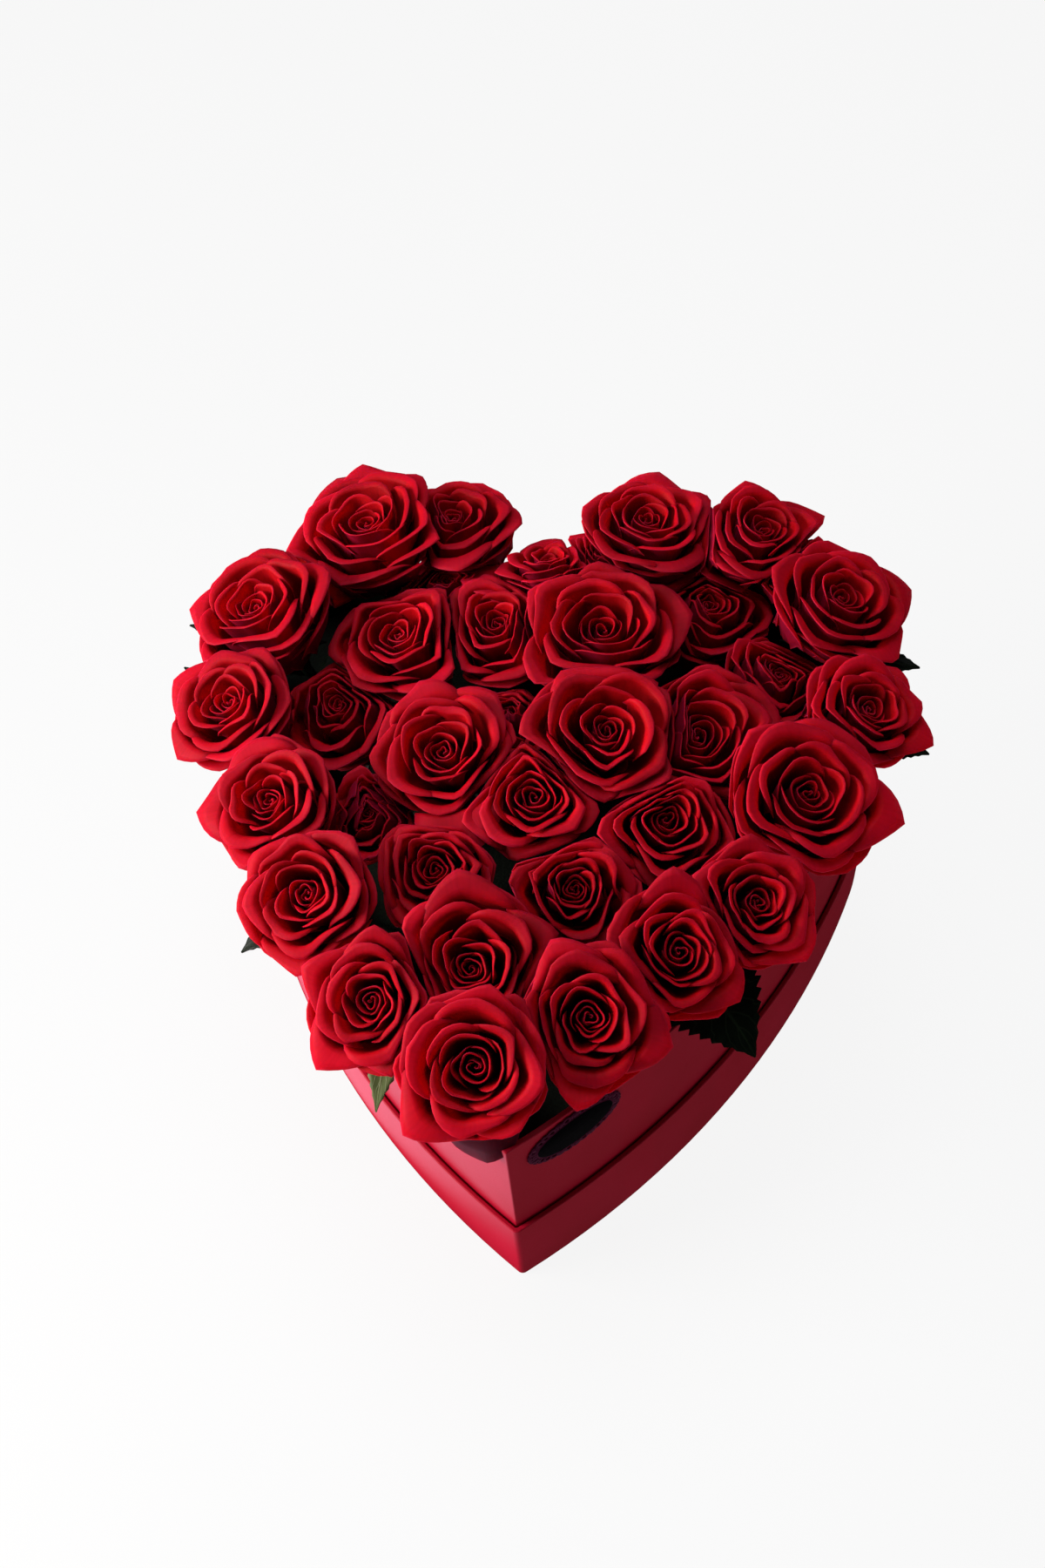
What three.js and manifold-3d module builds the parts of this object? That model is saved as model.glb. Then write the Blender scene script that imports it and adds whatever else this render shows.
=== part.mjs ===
// A heart-shaped box of red roses. The box stands in its own upturned lid and holds a lined block
// of floral foam, and the stems of the roses stand in plain holes in that foam.
// Millimetres, +Z up. The origin is on the surface the lid stands on, at the middle of the heart;
// -Y points to the heart's tip, which is the front, and +X to the right.
import * as THREE from "three";
import Module from "manifold-3d";
import { mergeVertices } from "three/addons/utils/BufferGeometryUtils.js";

const wasm = await Module();
wasm.setup();

// The heart, as the lid's outer edge: two lobes, and two long side arcs that meet at the tip
const heart = { lobeX: 70, lobeY: 70, lobeR: 80, sideR: 400, tipY: -154.5, tipRound: 3, notchRound: 2 };
const arcSteps = { tip: 2, side: 6, lobe: 10, notch: 1 };

// The gap that touching pieces keep
const seat = 0.3;
const lid = { height: 48, wall: 2.2, floor: 2 };
const box = { rim: 120, wall: 2.4, floor: 2.4, slack: 0.6 };
const liner = { top: 104, thick: 0.8 };
const foamTop = 98;
const label = { x: 24.5, z: 104, width: 44, height: 28, thick: 0.8, columns: 13, scallop: 0.08 };

// Every stem points away from one spot deep under the box, so the outer roses lean out
const focus = new THREE.Vector3(0, 110, -260);
const stem = { radius: 2.6, sides: 5, bottom: 48 };
const calyx = { radius: 4.4, height: 7, sepalOut: 10, sepalDown: 3, thick: 0.8 };
const head = { low: 26, grow: 0.42, middle: 0.6 };

// The planes between heads lean about points this far below the lower top, and lean most where
// the tops differ by as much as "over"
const lean = { below: 9, over: 9, most: 0.8 };
const tie = { z: 105, bury: 1.2, width: 22, arch: 1, teeth: 2 };
const leafForm = { rootZ: 108, fold: 0.2, teeth: 4, thick: 0.8, deep: 0.9, full: 1.08 };

// The roses, by hand: the top of each head, and how wide it opens where nothing presses on it.
// Some have one long outer petal, whose tip points in a compass direction from +X, and some at the
// back stand on a foot of their own.
const roses = [
  { at: [-85, 131, 168], open: 37, point: 120, long: 0.42 },
  { at: [-47, 139, 163], open: 29, foot: [-35, 126] },
  { at: [-48, 109, 153], open: 24 },
  { at: [-1, 115, 162], open: 20, foot: [5, 66] },
  { at: [44, 135, 168], open: 29, point: 90, long: 0.2 },
  { at: [96, 134, 164], open: 28 },
  { at: [112, 121, 157], open: 20 },
  { at: [-129, 81, 166], open: 32, point: 165, long: 0.1 },
  { at: [-64, 70, 160], open: 31 },
  { at: [-21, 78, 160], open: 29 },
  { at: [25, 72, 167], open: 37 },
  { at: [72, 101, 151], open: 29 },
  { at: [130, 92, 166], open: 30, point: 27, long: 0.1 },
  { at: [-132, 25, 165], open: 27, point: 217, long: 0.05 },
  { at: [-88, 38, 149], open: 27 },
  { at: [-36, 4, 166], open: 29 },
  { at: [-13, 36, 149], open: 19 },
  { at: [31, 13, 168], open: 34 },
  { at: [68, 20, 160], open: 35 },
  { at: [102, 61, 150], open: 24 },
  { at: [138, 34, 163], open: 24, point: -17, long: 0.1 },
  { at: [-105, -25, 165], open: 26, point: 180, long: 0.25 },
  { at: [112, -12, 165], open: 32, point: -5, long: 0.2 },
  { at: [1, -15, 162], open: 27 },
  { at: [57, -23, 158], open: 28 },
  { at: [-68, -16, 147], open: 20 },
  { at: [-84, -69, 164], open: 27 },
  { at: [-36, -48, 155], open: 24 },
  { at: [21, -55, 155], open: 24 },
  { at: [91, -64, 163], open: 24 },
  { at: [-15, -97, 165], open: 29 },
  { at: [62, -86, 164], open: 25, point: -40, long: 0.05 },
  { at: [-51, -114, 164], open: 25, point: 232, long: 0.2 },
  { at: [29, -117, 164], open: 27, point: -18, long: 0.15 },
  { at: [-11, -138, 165], open: 28, point: 230, long: 0.15 },
  { at: [22, 120, 159], open: 18, foot: [17, 102] },
];

// Which roses share a spray: a leaf lies across from each stem to the next
const sprays = [
  [1, 8],
  [2, 3],
  [4, 10],
  [11, 36],
  [5, 12],
  [6, 7],
  [9, 15],
  [13, 20, 21],
  [14, 22],
  [16, 26],
  [17, 18, 24],
  [19, 25],
  [23, 30],
  [27, 33],
  [28, 31],
  [29, 32],
  [34, 35],
];

// Leaves that reach out past the heads: the rose they grow under, and where their tips end
const showingLeaves = [
  { rose: 8, tip: [-168, 97, 128], width: 22, arch: 6 },
  { rose: 14, tip: [-167, 75, 124], width: 24, arch: 6 },
  { rose: 13, tip: [165, 86, 124], width: 24, arch: 6 },
  { rose: 21, tip: [166, 38, 124], width: 24, arch: 9 },
  { rose: 27, tip: [-115, -70, 119], width: 22, arch: 11 },
  { rose: 33, tip: [-51, -136, 118], width: 18, arch: 13 },
  { rose: 32, tip: [93, -99, 105], width: 47, arch: 15 },
];

const up = new THREE.Vector3(0, 0, 1);
const degrees = THREE.MathUtils.degToRad;

// A solid for joining and cutting, from any closed three.js geometry
function solidOf(geometry) {
  const bare = new THREE.BufferGeometry();
  bare.setAttribute("position", geometry.getAttribute("position"));
  bare.setIndex(geometry.index);
  const merged = mergeVertices(bare, 1e-4);
  const vertProperties = new Float32Array(merged.attributes.position.array);
  const triVerts = new Uint32Array(merged.index.array);
  return new wasm.Manifold(new wasm.Mesh({ numProp: 3, vertProperties, triVerts }));
}

// And back: a flat-shaded geometry from a solid
function geometryOf(solid) {
  const mesh = solid.getMesh();
  const geometry = new THREE.BufferGeometry();
  geometry.setAttribute("position", new THREE.BufferAttribute(mesh.vertProperties, mesh.numProp));
  geometry.setIndex(new THREE.BufferAttribute(mesh.triVerts, 1));
  const faceted = geometry.toNonIndexed();
  faceted.computeVertexNormals();
  return faceted;
}

// Points along an arc, without its last point
function arc(centre, radius, from, to, steps) {
  return Array.from({ length: steps }, (_, i) => {
    const angle = from + ((to - from) * i) / steps;
    return new THREE.Vector2(centre.x + radius * Math.cos(angle), centre.y + radius * Math.sin(angle));
  });
}

// The centre of the right side's arc, which touches the right lobe and passes through the tip
function findSideCentre() {
  const lobe = new THREE.Vector2(heart.lobeX, heart.lobeY);
  const line = new THREE.Vector2(0, heart.tipY).sub(lobe);
  const far = line.length();
  const inner = heart.sideR - heart.lobeR;
  const along = (inner ** 2 - heart.sideR ** 2 + far ** 2) / (2 * far);
  const across = Math.sqrt(inner ** 2 - along ** 2);
  line.normalize();
  const sideways = new THREE.Vector2(line.y, -line.x);
  return lobe.addScaledVector(line, along).addScaledVector(sideways, across);
}

const sideCentre = findSideCentre();

// The heart's edge, moved outwards by offset: tip, right side, right lobe, notch, then the left
function heartEdge(offset) {
  const lobe = new THREE.Vector2(heart.lobeX, heart.lobeY);
  const sideR = heart.sideR + offset;
  const lobeR = heart.lobeR + offset;
  const tipR = Math.max(heart.tipRound + offset, 1);
  const notchR = Math.max(heart.notchRound - offset, 1);
  const tipY = sideCentre.y - Math.sqrt((sideR - tipR) ** 2 - sideCentre.x ** 2);
  const notchY = heart.lobeY + Math.sqrt((lobeR + notchR) ** 2 - heart.lobeX ** 2);
  const tip = new THREE.Vector2(0, tipY);
  const notch = new THREE.Vector2(0, notchY);
  const sideFrom = Math.atan2(tip.y - sideCentre.y, tip.x - sideCentre.x);
  const sideTo = Math.atan2(lobe.y - sideCentre.y, lobe.x - sideCentre.x);
  const lobeTo = Math.atan2(notch.y - lobe.y, notch.x - lobe.x);
  const right = [
    ...arc(tip, tipR, -Math.PI / 2, sideFrom, arcSteps.tip),
    ...arc(sideCentre, sideR, sideFrom, sideTo, arcSteps.side),
    ...arc(lobe, lobeR, sideTo, lobeTo, arcSteps.lobe),
    ...arc(notch, notchR, lobeTo - Math.PI, -Math.PI / 2, arcSteps.notch),
    new THREE.Vector2(0, notch.y - notchR),
  ];
  const left = right.slice(1, -1).reverse();
  return [...right, ...left.map((p) => new THREE.Vector2(-p.x, p.y))];
}

function heartPrism(offset, bottom, top) {
  const shape = new THREE.Shape(heartEdge(offset));
  const prism = new THREE.ExtrudeGeometry(shape, { depth: top - bottom, bevelEnabled: false });
  return solidOf(prism.translate(0, 0, bottom));
}

// A heart-shaped tray: a prism with a smaller one cut out of it from above
function heartTray(offset, bottom, top, wall, floor) {
  const outer = heartPrism(offset, bottom, top);
  return outer.subtract(heartPrism(offset - wall, bottom + floor, top + 1));
}

// A closed solid from a stack of rings of points. Rings may have different numbers of points.
function loft(rings) {
  const points = rings.flat();
  const triangles = [];
  let start = 0;
  for (let r = 0; r < rings.length - 1; r++) {
    const n = rings[r].length;
    const m = rings[r + 1].length;
    const next = start + n;
    let i = 0;
    let j = 0;
    while (i < n || j < m) {
      const low = start + (i % n);
      const high = next + (j % m);
      if (j >= m || (i < n && (i + 1) / n <= (j + 1) / m)) {
        triangles.push(low, start + ((i + 1) % n), high);
        i++;
      } else {
        triangles.push(low, next + ((j + 1) % m), high);
        j++;
      }
    }
    start = next;
  }
  for (let i = 1; i < rings[0].length - 1; i++) triangles.push(0, i + 1, i);
  for (let i = 1; i < rings.at(-1).length - 1; i++) triangles.push(start, start + i, start + i + 1);
  const geometry = new THREE.BufferGeometry().setFromPoints(points);
  geometry.setIndex(triangles);
  return solidOf(geometry);
}

// A thin closed sheet round a grid of points. Both faces are cut into the same triangles.
function sheet(grid, thick) {
  const rows = grid.length;
  const columns = grid[0].length;
  const clamp = THREE.MathUtils.clamp;
  const at = (r, c) => grid[clamp(r, 0, rows - 1)][clamp(c, 0, columns - 1)];
  const face = (sign) =>
    grid.flatMap((row, r) =>
      row.map((p, c) => {
        const along = at(r + 1, c).clone().sub(at(r - 1, c));
        const across = at(r, c + 1).clone().sub(at(r, c - 1));
        return p.clone().addScaledVector(across.cross(along).normalize(), (sign * thick) / 2);
      }),
    );
  const points = [...face(1), ...face(-1)];
  const back = rows * columns;
  const triangles = [];
  const pair = (a, b, c) => triangles.push(a, b, c, back + a, back + c, back + b);
  const edge = (a, b) => triangles.push(a, back + a, back + b, a, back + b, b);
  for (let r = 0; r < rows - 1; r++) {
    for (let c = 0; c < columns - 1; c++) {
      const a = r * columns + c;
      if (c < (columns - 1) / 2) {
        pair(a, a + 1, a + columns + 1);
        pair(a, a + columns + 1, a + columns);
      } else {
        pair(a, a + 1, a + columns);
        pair(a + 1, a + columns + 1, a + columns);
      }
    }
  }
  for (let c = 0; c < columns - 1; c++) {
    edge(c, c + 1);
    edge((rows - 1) * columns + c + 1, (rows - 1) * columns + c);
  }
  for (let r = 0; r < rows - 1; r++) {
    edge((r + 1) * columns, r * columns);
    edge((r + 1) * columns - 1, (r + 2) * columns - 1);
  }
  const geometry = new THREE.BufferGeometry().setFromPoints(points);
  geometry.setIndex(triangles);
  return solidOf(geometry);
}

// How each rose stands: its axis, its base, and the side directions that its petals turn about
const goldenTurn = degrees(137.5);
for (const [i, rose] of roses.entries()) {
  const top = new THREE.Vector3(...rose.at);
  rose.from = rose.foot ? new THREE.Vector3(...rose.foot, stem.bottom) : focus;
  rose.height = head.low + head.grow * rose.open;
  rose.axis = top.clone().sub(rose.from).normalize();
  rose.base = top.clone().addScaledVector(rose.axis, -rose.height);
  rose.middle = rose.base.clone().addScaledVector(rose.axis, head.middle * rose.height);
  rose.right = new THREE.Vector3(0, 1, 0).cross(rose.axis).normalize();
  rose.back = rose.axis.clone().cross(rose.right);
  rose.turn = "point" in rose ? degrees(rose.point) : goldenTurn * i;
}

// Each rose keeps to its own side of a plane between it and every other rose. The plane leans, so
// that the higher of the two spreads over the lower one.
for (const rose of roses) {
  rose.planes = roses
    .filter((other) => other !== rose)
    .map((other) => {
      const across = other.middle.clone().sub(rose.middle);
      const share = rose.open / (rose.open + other.open);
      const pivot = rose.middle.clone().addScaledVector(across, share);
      pivot.z = Math.min(rose.at[2], other.at[2]) - lean.below;
      const rise = THREE.MathUtils.clamp((rose.at[2] - other.at[2]) / lean.over, -1, 1);
      const normal = across.normalize().addScaledVector(up, -lean.most * rise).normalize();
      return { normal, far: normal.dot(pivot.sub(rose.middle)) - seat / 2 };
    });
}

// The point of a rose's stem at a height above the table
function stemPoint(rose, z) {
  return rose.base.clone().addScaledVector(rose.axis, (z - rose.base.z) / rose.axis.z);
}

// A point from a centre on a rose's axis, some way out at an angle about it
function outFrom(rose, centre, angle, out) {
  const direction = rose.right.clone().multiplyScalar(Math.cos(angle));
  direction.addScaledVector(rose.back, Math.sin(angle));
  return centre.clone().addScaledVector(direction, out);
}

// How wide a whole head may be at a height up its axis, as a share of how far it opens
const headRoom = (share) => 0.5 + 0.58 * Math.min(1, share / 0.35);

// A point of a head. Where its neighbours leave less room, the head is narrowed to fit.
function headPoint(rose, angle, out, share) {
  const centre = rose.base.clone().addScaledVector(rose.axis, share * rose.height);
  const direction = outFrom(rose, new THREE.Vector3(), angle, 1);
  const offset = centre.clone().sub(rose.middle);
  let room = Infinity;
  for (const plane of rose.planes) {
    const facing = plane.normal.dot(direction);
    if (facing > 0.05) room = Math.min(room, (plane.far - offset.dot(plane.normal)) / facing);
  }
  const narrowed = Math.min(1, room / (rose.open * headRoom(share)));
  return outFrom(rose, centre, angle, Math.min(rose.open * out * narrowed, room));
}

// Petals stand in whorls. Columns say where each petal is measured across its width.
const whorls = {
  root: { petals: 5, turn: 0, reach: 0, columns: [0] },
  guard: { petals: 5, turn: 0, reach: 29, columns: [-1, 0, 1] },
  middle: { petals: 5, turn: 30, reach: 29, columns: [-1, 0, 1] },
  inner: { petals: 3, turn: 70, reach: 50, columns: [-1, 0, 1] },
  eye: { petals: 3, turn: 110, reach: 50, columns: [-1, 0, 1] },
};

// The head's surface, ring by ring from its base: up the outside of a whorl of petals, over its
// rim, down its inside to a groove, and up the next whorl. Out and up are shares of how far the
// head opens and how high it is; tip and lift are added in the middle of each petal, and one edge
// of each petal stands out by step, over the edge of the next.
const headRings = [
  { whorl: "root", out: 0.27, up: 0, tip: 0, lift: 0, step: 0 },
  { whorl: "root", out: 0.72, up: 0.14, tip: 0, lift: 0, step: 0 },
  { whorl: "guard", out: 0.9, up: 0.42, tip: 0.04, lift: 0, step: 0.03 },
  { whorl: "guard", out: 0.96, up: 0.83, tip: 0.11, lift: -0.04, step: 0.05, rim: true },
  { whorl: "guard", out: 0.91, up: 0.865, tip: 0.11, lift: -0.04, step: 0.05, rim: true },
  { whorl: "middle", out: 0.66, up: 0.64, tip: 0, lift: 0, step: 0.01 },
  { whorl: "middle", out: 0.73, up: 0.92, tip: 0.07, lift: 0, step: 0.05 },
  { whorl: "middle", out: 0.68, up: 0.95, tip: 0.07, lift: 0, step: 0.05 },
  { whorl: "inner", out: 0.45, up: 0.72, tip: 0, lift: 0, step: 0.01 },
  { whorl: "inner", out: 0.44, up: 0.98, tip: 0.03, lift: 0.02, step: 0.05 },
  { whorl: "inner", out: 0.38, up: 0.995, tip: 0.03, lift: 0.02, step: 0.05 },
  { whorl: "eye", out: 0.22, up: 0.8, tip: 0, lift: 0, step: 0 },
  { whorl: "eye", out: 0.15, up: 0.96, tip: 0.01, lift: 0.03, step: 0.03 },
];

function headRing(rose, ring) {
  const whorl = whorls[ring.whorl];
  return Array.from({ length: whorl.petals }, (_, i) =>
    whorl.columns.map((across) => {
      const middle = 1 - across * across;
      const angle = rose.turn + degrees(whorl.turn + (360 * i) / whorl.petals + whorl.reach * across);
      const long = ring.rim && i === 0 && across === 0 ? rose.long ?? 0 : 0;
      const out = ring.out + ring.tip * middle + ring.step * across + long;
      return headPoint(rose, angle, out, ring.up + ring.lift * middle - 0.4 * long);
    }),
  ).flat();
}

// A ring about a rose's stem, some way above its base, from a list of how far out each point is
function stemRing(rose, height, outs, dips) {
  return outs.map((out, i) => {
    const centre = rose.base.clone().addScaledVector(rose.axis, height - (dips ? dips[i] : 0));
    return outFrom(rose, centre, rose.turn + (2 * Math.PI * i) / outs.length, out);
  });
}

const evenRing = (rose, height, radius) => stemRing(rose, height, Array(stem.sides).fill(radius));

// A stem, the calyx that it swells into under the head, and five sepals turned down round it
function stemAndSepals(rose) {
  const foot = (stem.bottom - rose.base.z) / rose.axis.z;
  const outs = Array.from({ length: 2 * stem.sides }, (_, i) => (i % 2 ? calyx.radius : calyx.sepalOut));
  const dips = outs.map((_, i) => (i % 2 ? 0 : calyx.sepalDown));
  return loft([
    evenRing(rose, foot, stem.radius),
    evenRing(rose, -calyx.height, stem.radius),
    evenRing(rose, -0.45 * calyx.height, calyx.radius),
    stemRing(rose, -seat - 2 * calyx.thick, outs, dips),
    stemRing(rose, -seat - 0.5 * calyx.thick, outs, dips),
    evenRing(rose, -seat, calyx.radius * 0.8),
  ]);
}

// The plain hole that a stem stands in
function stemHole(rose) {
  const radius = stem.radius + 1.4 * seat;
  const low = (stem.bottom - 2 * seat - rose.base.z) / rose.axis.z;
  const high = (foamTop + 5 - rose.base.z) / rose.axis.z;
  return loft([evenRing(rose, low, radius), evenRing(rose, high, radius)]);
}

// A toothed leaf from root to tip, arched up between them and folded up a little along its rib
function leafBlade(root, tip, width, arch, teeth) {
  const along = tip.clone().sub(root);
  const across = along.clone().cross(up).normalize();
  const rows = 2 * teeth;
  const grid = Array.from({ length: rows + 1 }, (_, i) => {
    const share = i / rows;
    const full = Math.sin(Math.PI * share ** 0.85);
    const tooth = i % 2 ? leafForm.full : leafForm.deep;
    const half = Math.max(0.5 * width * full * tooth, leafForm.thick);
    const rib = root.clone().addScaledVector(along, share);
    rib.z += 4 * arch * share * (1 - share);
    return [-1, 0, 1].map((side) => {
      const point = rib.clone().addScaledVector(across, side * half);
      point.z += leafForm.fold * half * Math.abs(side);
      return point;
    });
  });
  return sheet(grid, leafForm.thick);
}

function tieLeaf(from, to) {
  const start = stemPoint(from, tie.z);
  const end = stemPoint(to, tie.z);
  const inset = end.clone().sub(start).setLength(stem.radius - tie.bury);
  return leafBlade(start.add(inset), end.sub(inset), tie.width, tie.arch, tie.teeth);
}

// A blank oval label with a scalloped edge, curved round the right front wall under the rim
function wallLabel(wallOffset) {
  const radius = heart.sideR + wallOffset + seat + label.thick / 2;
  const middle = -Math.acos((label.x - sideCentre.x) / radius);
  const rows = [-1, 1].map((side) =>
    Array.from({ length: label.columns }, (_, i) => {
      const across = (2 * i) / (label.columns - 1) - 1;
      const angle = middle + (across * label.width) / 2 / radius;
      const oval = Math.sqrt(1 - (0.96 * across) ** 2);
      const half = 0.5 * label.height * oval * (i % 2 ? 1 : 1 - label.scallop);
      return new THREE.Vector3(
        sideCentre.x + radius * Math.cos(angle),
        sideCentre.y + radius * Math.sin(angle),
        label.z + side * half,
      );
    }),
  );
  return sheet(rows, label.thick);
}

const colours = {
  paper: 0xb3142b,
  liner: 0x2b3a2c,
  foam: 0x24442a,
  petal: 0xb00a1e,
  leaf: 0x23331f,
  card: 0x17151a,
};
const group = new THREE.Group();

function add(name, solid, color, roughness) {
  const material = new THREE.MeshStandardMaterial({ color, roughness, metalness: 0 });
  const mesh = new THREE.Mesh(geometryOf(solid), material);
  mesh.name = name;
  group.add(mesh);
}

const twoDigits = (n) => String(n).padStart(2, "0");

// The lid, upturned under the box as its stand, and the box inside it
const boxOffset = -lid.wall - box.slack;
const boxBottom = lid.floor + seat;
add("lid", heartTray(0, 0, lid.height, lid.wall, lid.floor), colours.paper, 0.55);
add("box", heartTray(boxOffset, boxBottom, box.rim, box.wall, box.floor), colours.paper, 0.55);
add("label", wallLabel(boxOffset), colours.card, 0.6);

// A film liner keeps the wet foam off the card
const linerOffset = boxOffset - box.wall - seat;
const linerBottom = boxBottom + box.floor + seat;
const foamOffset = linerOffset - liner.thick - seat;
const foamBottom = linerBottom + liner.thick + seat;
const holes = wasm.Manifold.union(roses.map(stemHole));
add("liner", heartTray(linerOffset, linerBottom, liner.top, liner.thick, liner.thick), colours.liner, 0.3);
add("foam", heartPrism(foamOffset, foamBottom, foamTop).subtract(holes), colours.foam, 0.95);

for (const [i, rose] of roses.entries()) {
  const bloom = loft(headRings.map((ring) => headRing(rose, ring)));
  add(`rose_${twoDigits(i + 1)}`, bloom, colours.petal, 0.6);
}

for (const [i, spray] of sprays.entries()) {
  const members = spray.map((number) => roses[number - 1]);
  const parts = members.map(stemAndSepals);
  for (let k = 1; k < members.length; k++) parts.push(tieLeaf(members[k - 1], members[k]));
  for (const leaf of showingLeaves.filter((one) => spray.includes(one.rose))) {
    const root = stemPoint(roses[leaf.rose - 1], leafForm.rootZ);
    const tip = new THREE.Vector3(...leaf.tip);
    root.add(tip.clone().sub(root).setLength(stem.radius - tie.bury));
    parts.push(leafBlade(root, tip, leaf.width, leaf.arch, leafForm.teeth));
  }
  add(`stems_${twoDigits(i + 1)}`, wasm.Manifold.union(parts), colours.leaf, 0.5);
}

export default group;
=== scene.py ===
import math
import random

import bmesh
import bpy
from mathutils import Matrix, Vector


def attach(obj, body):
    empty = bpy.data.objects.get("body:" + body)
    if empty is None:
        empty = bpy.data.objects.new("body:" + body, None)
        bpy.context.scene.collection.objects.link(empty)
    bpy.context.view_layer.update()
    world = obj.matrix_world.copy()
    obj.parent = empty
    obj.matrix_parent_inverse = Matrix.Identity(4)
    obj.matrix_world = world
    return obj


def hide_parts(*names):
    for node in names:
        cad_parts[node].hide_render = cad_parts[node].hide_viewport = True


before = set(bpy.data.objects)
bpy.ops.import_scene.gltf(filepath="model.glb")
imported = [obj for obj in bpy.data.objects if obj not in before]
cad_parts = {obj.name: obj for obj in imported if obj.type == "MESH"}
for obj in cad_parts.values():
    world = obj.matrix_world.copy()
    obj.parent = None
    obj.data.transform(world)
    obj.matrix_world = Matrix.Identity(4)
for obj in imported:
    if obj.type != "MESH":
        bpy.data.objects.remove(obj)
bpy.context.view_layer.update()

mm = 0.001
up = Vector((0, 0, 1))


# Helpers for finishing pieces and materials

def linearColour(hexColour):
    channels = [int(hexColour[i : i + 2], 16) / 255 for i in (1, 3, 5)]
    linear = [c / 12.92 if c <= 0.04045 else ((c + 0.055) / 1.055) ** 2.4 for c in channels]
    return (*linear, 1)


def addNode(material, kind, settings, links=None):
    # A setting is a property of the node, or else the value of the socket of that name
    node = material.node_tree.nodes.new(kind)
    for name, value in settings.items():
        if isinstance(name, str) and hasattr(node, name):
            setattr(node, name, value)
        else:
            node.inputs[name].default_value = value
    for name, socket in (links or {}).items():
        material.node_tree.links.new(socket, node.inputs[name])
    return node


def addRamp(material, fac, stops):
    ramp = addNode(material, "ShaderNodeValToRGB", {}, {"Fac": fac})
    elements = ramp.color_ramp.elements
    while len(elements) < len(stops):
        elements.new(0.5)
    for element, (place, colour) in zip(elements, stops):
        element.position = place
        element.color = linearColour(colour)
    return ramp.outputs["Color"]


def newMaterial(name):
    material = bpy.data.materials.new(name)
    material.use_nodes = True
    material.node_tree.nodes.clear()
    return material


def finishMaterial(material, settings, links):
    shader = addNode(material, "ShaderNodeBsdfPrincipled", settings, links)
    addNode(material, "ShaderNodeOutputMaterial", {}, {"Surface": shader.outputs["BSDF"]})
    return material


def finishPiece(name, bm, materials, replaced):
    # Makes an object of the bmesh, in the place of one node of the model
    bmesh.ops.scale(bm, vec=(mm, mm, mm), verts=bm.verts)
    mesh = bpy.data.meshes.new(name)
    bm.to_mesh(mesh)
    bm.free()
    for polygon in mesh.polygons:
        polygon.use_smooth = True
    for material in materials:
        mesh.materials.append(material)
    piece = bpy.data.objects.new(name, mesh)
    bpy.context.scene.collection.objects.link(piece)
    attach(piece, "root")
    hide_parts(replaced)
    return piece


# How the roses stand in the box

bouquet = {
    "focus": (0, 110, -260),  # every stem points away from here, deep under the box
    "stemBottom": 48,
    "headLow": 26,  # a head is this high, and more the wider it opens
    "headGrow": 0.42,
    "headMiddle": 0.6,
    "neck": 0.5,  # how far a head reaches out at its base, what it gains, and how high up it is full
    "swell": 0.58,
    "shoulder": 0.35,
    "mostSlack": 0.6,  # how much less the middle of a head gives than its edge, at most
    "glancing": 0.05,  # a plane that faces a direction less than this leaves it free
    "seat": 0.3,  # the gap between pieces
    "goldenTurn": 137.5,
    "nearby": 1.6,  # heads press each other if they are within this many times what both open to
    "pivotBelow": 9,  # the planes between heads lean about points this far under the lower top
    "leanOver": 9,  # the difference in height that makes them lean most
    "mostLean": 0.8,
}

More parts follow.
